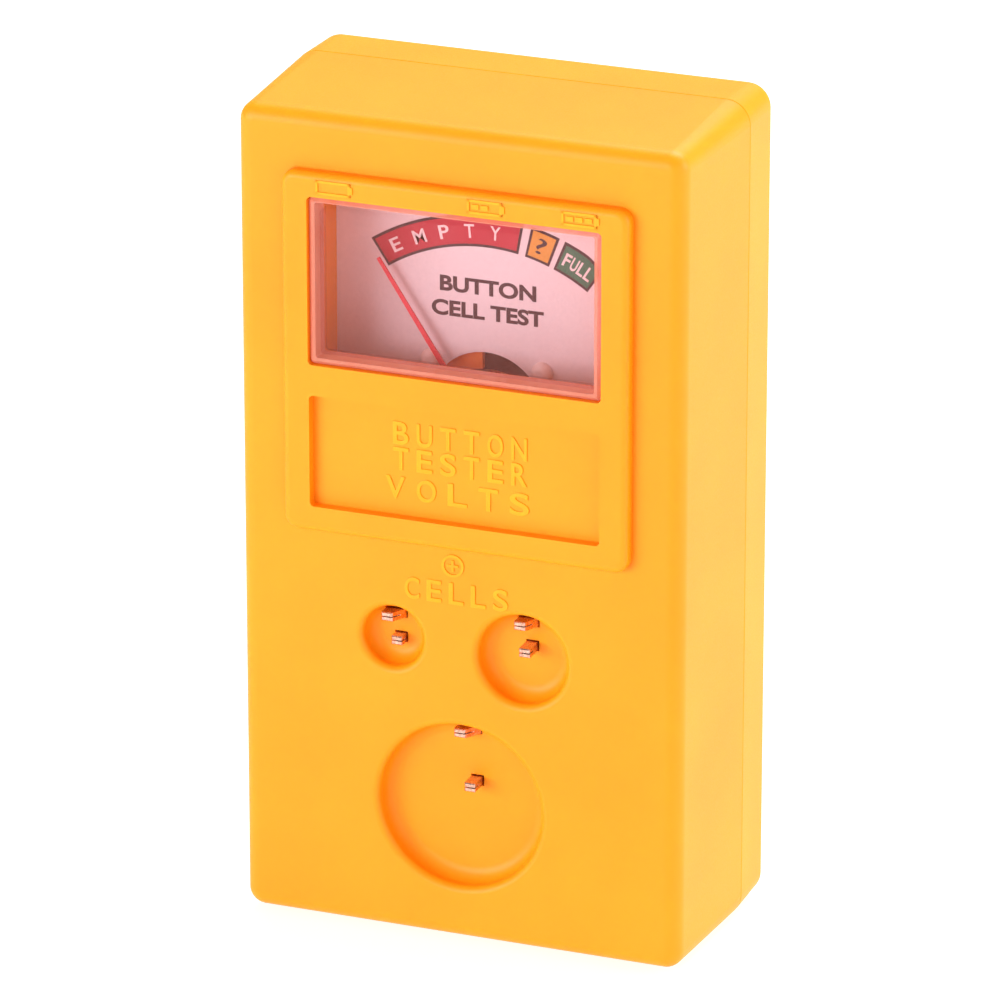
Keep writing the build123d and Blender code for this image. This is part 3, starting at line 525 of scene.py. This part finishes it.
def dial_bands():
    """Each coloured band, a hair proud of a slightly larger dark one."""
    edge = degrees(OUTLINE / BAND_OUTER)
    reach = (BAND_INNER - OUTLINE, BAND_OUTER + OUTLINE)
    for name, start, end, material, rounded in BANDS:
        rim = band_outline(start - edge, end + edge, *reach, rounded)
        lower = prism(rim, DIAL_Y, DIAL_Y - PRINT_RISE)
        fixed_piece(f"{name}_outline", [lower], "ink_dark")
        fill = band_outline(start, end, BAND_INNER, BAND_OUTER, rounded)
        upper = prism(fill, DIAL_Y, DIAL_Y - 2 * PRINT_RISE)
        fixed_piece(name, [upper], material)


def band_words():
    """Letters standing on a circle about the pivot, at even angles."""
    for name, word, (first, last), width, height, above, bold, material in BAND_WORDS:
        base = BAND_INNER + above * MM
        step = (last - first) / max(len(word) - 1, 1)
        meshes = []
        for i, letter in enumerate(word):
            half = width * (WIDE_M if letter == "M" else 1) * MM / 2
            spans = ((-half, half), (base, base + height * MM))
            mesh = fitted_glyphs(letter, *spans, DIAL_Y - 2 * PRINT_RISE, PRINT_RISE, bold)
            turn = Matrix.Rotation(radians(first + i * step), 4, "Y")
            mesh.transform(Matrix.Translation((PIVOT.x, 0, PIVOT.z)) @ turn)
            meshes.append(mesh)
        fixed_piece(name, meshes, material)


def dial_lines():
    for name, text, (left, right), rise in DIAL_LINES:
        low = PIVOT.z + rise * MM
        spans = ((left * MM, right * MM), (low, low + DIAL_LETTER))
        mesh = fitted_glyphs(text, *spans, DIAL_Y, PRINT_RISE, DIAL_BOLD)
        fixed_piece(name, [mesh], "ink_dark")


# ---- window ------------------------------------------------------------------------------
def painted_glow_edge():
    """A pale band inside the clear cover's wall, with a painted sheen and a painted glow where its edge
    catches light.
    """
    low, high = COVER_LOW, COVER_HIGH

    def frame_outline(side, bottom, top, corner):
        return rounded_box((low.x + side, high.x - side), (low.z + bottom, high.z - top), corner)

    bevelled = EDGE_INSET + EDGE_BEVEL
    around = frame_outline(EDGE_INSET, EDGE_INSET, EDGE_INSET, EDGE_CORNER)
    face = frame_outline(bevelled, bevelled, bevelled, EDGE_CORNER / 2)
    within = frame_outline(EDGE_WIDTH, EDGE_WIDTH, EDGE_TOP_WIDTH, EDGE_CORNER / 2)
    back, front = high.y - EDGE_INSET, low.y + EDGE_INSET
    loops = [(around, back), (around, front + EDGE_BEVEL), (face, front), (within, front), (within, back)]
    # The band's material carries a painted sheen and a painted glow.
    fixed_piece("meter_cover_painted_glow_edge", [hollow(loops)], "painted_glow_edge")


# ---- raised marks on the case ------------------------------------------------------------
def raised_mark(name, meshes):
    # Raised marks take a lighter copy of the case plastic: a painted highlight on the relief.
    fixed_piece(name, meshes, "mark_plastic_painted_highlight")


def case_words():
    """Letters of one width, set evenly over each word's span."""
    for name, word, (left, right), (bottom, top), y, width in CASE_WORDS:
        pitch = (right - left - width) / (len(word) - 1)
        meshes = []
        for i, letter in enumerate(word):
            start = left + i * pitch
            spans = ((start * MM, (start + width) * MM), (bottom * MM, top * MM))
            meshes.append(fitted_glyphs(letter, *spans, y, RELIEF, WORD_BOLD, WORD_ROUNDING))
        raised_mark(name, meshes)


def raised_bar(x, z, y):
    """Mesh of a thin bar on a face that looks along -Y; its spans are in millimetres."""
    outline = [(x[0], z[0]), (x[1], z[0]), (x[1], z[1]), (x[0], z[1])]
    return prism([(px * MM, pz * MM) for px, pz in outline], y + RELIEF, y - RELIEF)


def battery_icon(name, centre, width, bars):
    """Raised outline of a cell, with that many bars inside it."""
    left, right = centre - width / 2, centre + width / 2
    low, high, stroke = ICON_Z, ICON_Z + ICON_HEIGHT, ICON_STROKE
    spans = [((left, right), (low, low + stroke)), ((left, right), (high - stroke, high))]
    spans += [((left, left + stroke), (low, high)), ((right - stroke, right), (low, high))]
    nose = ICON_HEIGHT / 4
    spans.append(((right, right + stroke), (low + nose, high - nose)))
    step = (width - 3 * stroke) / ICON_SLOTS
    for i in range(bars):
        x = left + 2 * stroke + i * step
        spans.append(((x, x + step - stroke), (low + 2 * stroke, high - 2 * stroke)))
    raised_mark(name, [raised_bar(x, z, BEZEL_Y) for x, z in spans])


def plus_mark():
    """Small raised ring with a plus in it, above the word."""
    centre = [value * MM for value in MARK_PLACE]
    rim, hole = [circle(centre, radius * MM) for radius in MARK_RING]
    back, front = FACE_Y + RELIEF, FACE_Y - RELIEF
    ring = hollow([(rim, back), (rim, front), (hole, front), (hole, back)])
    (x, z), (long, short) = MARK_PLACE, MARK_BAR
    across = raised_bar((x - long, x + long), (z - short, z + short), FACE_Y)
    upright = raised_bar((x - short, x + short), (z - long, z + long), FACE_Y - MARK_STEP)
    raised_mark("plus_mark", [ring, across, upright])


# ---- leaf springs behind the contacts ----------------------------------------------------
def bend_leaf(contact):
    """A copy of the leaf, cut across at even steps between its clamped end and its contact; the CAD leaf
    is hidden.
    """
    leaf = contact.replace("_contact", "_leaf")
    nib, middle = [sum(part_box(name), Vector()) / 2 for name in (contact, leaf)]
    nib.y = middle.y
    along = (middle - nib).normalized()
    screw = nib + along * (2 * (middle - nib).length - LEAF_PAST_MIDDLE)
    start, end = screw - along * LEAF_CLAMPED, nib + along * LEAF_PUSHED
    made = bmesh.new()
    made.from_mesh(frame["nodes"][leaf].data)
    for i in range(LEAF_CUTS):
        everything = [*made.verts, *made.edges, *made.faces]
        place = start.lerp(end, i / (LEAF_CUTS - 1))
        bmesh.ops.bisect_plane(made, geom=everything, plane_co=place, plane_no=along)
    piece = mesh_object(f"{leaf}_spring", as_mesh(leaf, made))
    coat(piece, "bronze_spring")
    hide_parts(leaf)
    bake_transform(piece)


def dress_everything():
    dress_cad_nodes()
    dial_bands()
    band_words()
    dial_lines()
    painted_glow_edge()
    case_words()
    for icon in ICONS:
        battery_icon(*icon)
    plus_mark()
    for joint in frame["joints"]:
        if joint["child"].endswith("_contact"):
            bend_leaf(joint["child"])


# ---- stage -------------------------------------------------------------------------------
def floor():
    """A pale floor with a glow of its own, which keeps it white in the case's shade."""
    half = FLOOR_HALF
    outline = [(-half, -FLOOR_DEPTH), (half, -FLOOR_DEPTH), (half, 0), (-half, 0)]
    obj = joined("floor", [prism(outline, half, -half)])
    s = Surface("floor_white", Roughness=0.6, Emission_Strength=0.8, Emission_Color=(1, 1, 1, 1))
    s.colour(s.noise(8, detail=1), (160, 160, 160), (164, 164, 164))
    obj.data.materials.append(s.material)


def softbox(name, place, size, power):
    light = bpy.data.lights.new(name, "AREA")
    light.shape = "RECTANGLE"
    light.size, light.size_y = size
    light.energy = power
    obj = bpy.data.objects.new(name, light)
    obj.location = place
    aim = Vector((0, 0, HALF_HEIGHT)) - obj.location
    obj.rotation_euler = aim.to_track_quat("-Z", "Y").to_euler()
    bpy.context.scene.collection.objects.link(obj)


def sky():
    world = bpy.data.worlds.new("studio")
    world.use_nodes = True
    background = world.node_tree.nodes["Background"]
    background.inputs["Color"].default_value = (1, 1, 1, 1)
    background.inputs["Strength"].default_value = SKY_STRENGTH
    bpy.context.scene.world = world


def camera():
    az, el = CAMERA_AZIMUTH, CAMERA_ELEVATION
    back = Vector((sin(az) * cos(el), -cos(az) * cos(el), sin(el)))
    right = Vector((0, 0, 1)).cross(back).normalized()
    up = back.cross(right)
    data = bpy.data.cameras.new("camera")
    data.lens = CAMERA_LENS
    data.sensor_width = 36
    data.clip_start = 0.05
    obj = bpy.data.objects.new("camera", data)
    place = CAMERA_AIM + back * CAMERA_DISTANCE + right * CAMERA_OFFSET[0] + up * CAMERA_OFFSET[1]
    turn = Matrix((right, up, back)).transposed().to_4x4()
    obj.matrix_world = Matrix.Translation(place) @ turn
    bpy.context.scene.collection.objects.link(obj)
    bpy.context.scene.camera = obj


dress_everything()
floor()
for light_row in LIGHTS:
    softbox(*light_row)
sky()
camera()
bpy.context.scene.view_settings.view_transform = "Standard"
